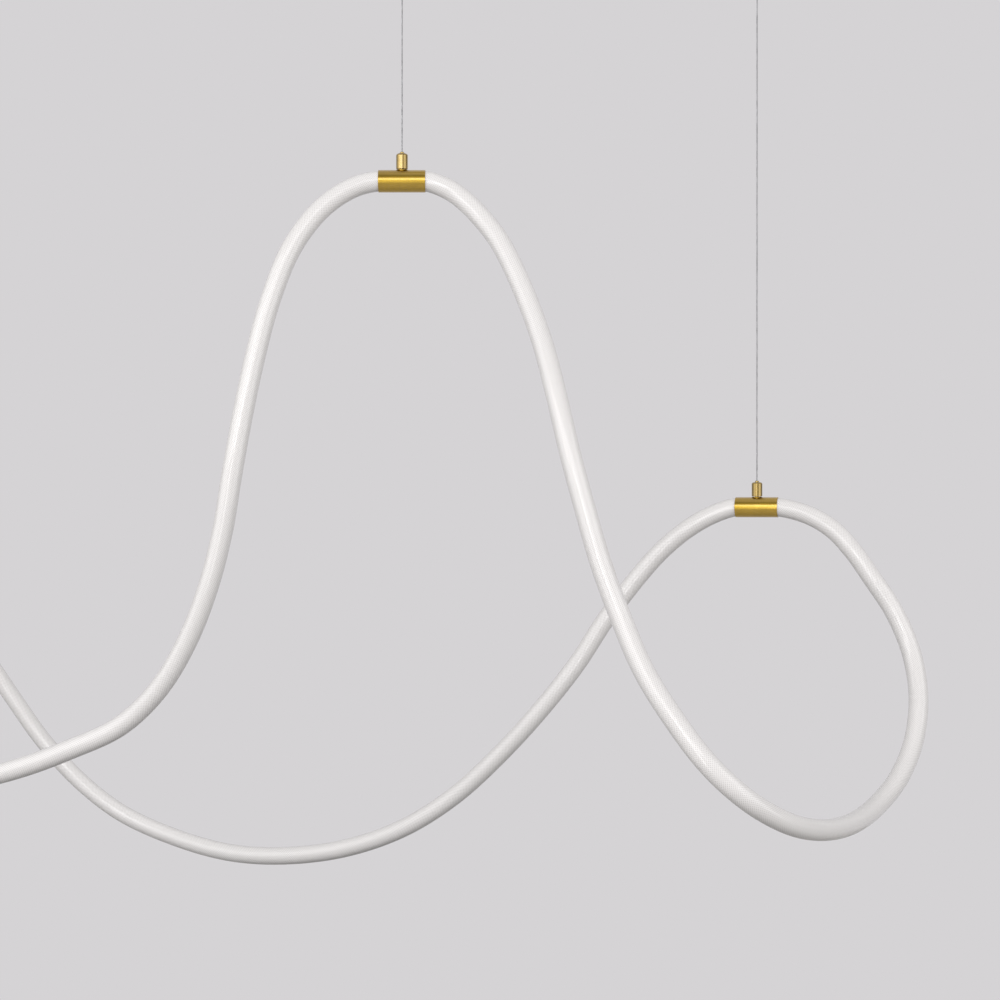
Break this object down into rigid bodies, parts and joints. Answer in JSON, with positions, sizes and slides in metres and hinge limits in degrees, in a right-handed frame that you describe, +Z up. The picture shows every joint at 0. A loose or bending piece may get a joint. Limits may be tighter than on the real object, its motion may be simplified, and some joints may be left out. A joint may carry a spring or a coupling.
{
  "type": "suspended flexible light tube",
  "caption": "White opal flexible light tube hanging in loose loops from thin steel wires, held in short brass sleeves with ball grippers and ceiling caps.",
  "frame": {"origin": "centre of the first ceiling plate's top face, on the ceiling", "axes": "+X to the right along the lamp, +Y away from the viewer, +Z up"},
  "size_m": [1.3337, 0.693, 1.06],
  "materials": {
    "brass": "turned and finely brushed, clear lacquered",
    "steel": "plain turned",
    "spring_steel": "drawn wire",
    "wire_steel": "stranded wire rope",
    "silicone": "glossy opal white, with a fine braided mesh under its clear skin",
    "led_strip": "flexible circuit with small light chips",
    "joiner_plastic": "moulded",
    "gland_plastic": "moulded"
  },
  "bodies": {
    "lamp": {"light_tube_right": "silicone", "led_spine_right": "led_strip", "light_tube_back": "silicone", "led_spine_back": "led_strip", "light_tube_left": "silicone", "led_spine_left": "led_strip", "holder_sleeve_1": "brass", "tube_joiner_1": "joiner_plastic", "gripper_stud_1": "steel", "ceiling_plate_1": "steel", "ceiling_nipple_1": "brass", "holder_sleeve_2": "brass", "tube_joiner_2": "joiner_plastic", "gripper_stud_2": "steel", "ceiling_plate_2": "steel", "ceiling_nipple_2": "brass", "holder_sleeve_3": "brass", "tube_joiner_3": "joiner_plastic", "gripper_stud_3": "steel", "ceiling_plate_3": "steel", "ceiling_nipple_3": "brass", "feed_gland": "gland_plastic", "feed_gland_nut": "gland_plastic"},
    "gripper_1": {"gripper_body_1": "brass", "gripper_plug_1": "brass", "grip_spring_1": "spring_steel", "wire_1": "wire_steel", "wire_ferrule_1": "steel"},
    "release_nose_1": {"grip_cage_1": "brass", "grip_ball_1_1": "steel", "grip_ball_1_2": "steel", "grip_ball_1_3": "steel"},
    "cap_1": {"ceiling_cap_1": "brass"},
    "gripper_2": {"gripper_body_2": "brass", "gripper_plug_2": "brass", "grip_spring_2": "spring_steel", "wire_2": "wire_steel", "wire_ferrule_2": "steel"},
    "release_nose_2": {"grip_cage_2": "brass", "grip_ball_2_1": "steel", "grip_ball_2_2": "steel", "grip_ball_2_3": "steel"},
    "cap_2": {"ceiling_cap_2": "brass"},
    "gripper_3": {"gripper_body_3": "brass", "gripper_plug_3": "brass", "grip_spring_3": "spring_steel", "wire_3": "wire_steel", "wire_ferrule_3": "steel"},
    "release_nose_3": {"grip_cage_3": "brass", "grip_ball_3_1": "steel", "grip_ball_3_2": "steel", "grip_ball_3_3": "steel"},
    "cap_3": {"ceiling_cap_3": "brass"}
  },
  "joints": [
    {"name": "gripper_swivel_1", "type": "hinge", "parent": "lamp", "child": "gripper_1", "pos_m": [0, 0, -0.3063], "axis": [0, 0, 1], "continuous": true},
    {"name": "release_press_1", "type": "slide", "parent": "gripper_1", "child": "release_nose_1", "axis": [0, 0, -1], "range_m": [0, 0.0012], "stiffness_N_per_m": 300, "springref_m": -0.001, "deforming": ["grip_spring_1"]},
    {"name": "cap_drop_1", "type": "slide", "parent": "lamp", "child": "cap_1", "axis": [0, 0, -1], "range_m": [0, 0.04]},
    {"name": "gripper_swivel_2", "type": "hinge", "parent": "lamp", "child": "gripper_2", "pos_m": [0.382, 0.21, -0.633], "axis": [0, 0, 1], "continuous": true},
    {"name": "release_press_2", "type": "slide", "parent": "gripper_2", "child": "release_nose_2", "axis": [0, 0, -1], "range_m": [0, 0.0012], "stiffness_N_per_m": 300, "springref_m": -0.001, "deforming": ["grip_spring_2"]},
    {"name": "cap_drop_2", "type": "slide", "parent": "lamp", "child": "cap_2", "axis": [0, 0, -1], "range_m": [0, 0.04]},
    {"name": "gripper_swivel_3", "type": "hinge", "parent": "lamp", "child": "gripper_3", "pos_m": [-0.66, 0.468, -0.745], "axis": [0, 0, 1], "continuous": true},
    {"name": "release_press_3", "type": "slide", "parent": "gripper_3", "child": "release_nose_3", "axis": [0, 0, -1], "range_m": [0, 0.0012], "stiffness_N_per_m": 300, "springref_m": -0.001, "deforming": ["grip_spring_3"]},
    {"name": "cap_drop_3", "type": "slide", "parent": "lamp", "child": "cap_3", "axis": [0, 0, -1], "range_m": [0, 0.04]}
  ]
}
